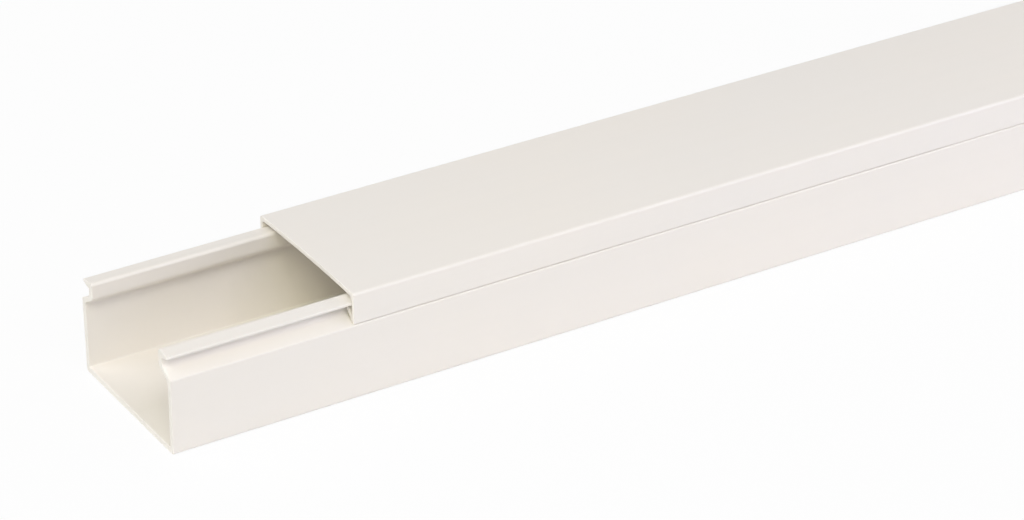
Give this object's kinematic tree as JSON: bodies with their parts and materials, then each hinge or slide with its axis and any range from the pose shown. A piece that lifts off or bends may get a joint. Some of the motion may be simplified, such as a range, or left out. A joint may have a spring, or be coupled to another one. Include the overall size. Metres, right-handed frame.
{
  "type": "cable trunking",
  "caption": "Solid-walled plastic cable trunking: a U-shaped base with inturned snap necks and a clip-on cover that slides along it.",
  "frame": {"origin": "centre of the base's underside, which lies against the wall or ceiling", "axes": "+X along the trunking towards the end that the cover overhangs, +Y across it, +Z out of the mounting surface towards the cover"},
  "size_m": [2.042, 0.04, 0.0254],
  "materials": {
    "base_pvc": "satin",
    "cover_pvc": "satin"
  },
  "bodies": {
    "base": {"base": "base_pvc"},
    "cover": {"cover": "cover_pvc"}
  },
  "joints": [
    {"name": "cover_slide", "type": "slide", "parent": "base", "child": "cover", "axis": [1, 0, 0], "range_m": [-0.042, 0.458]}
  ]
}
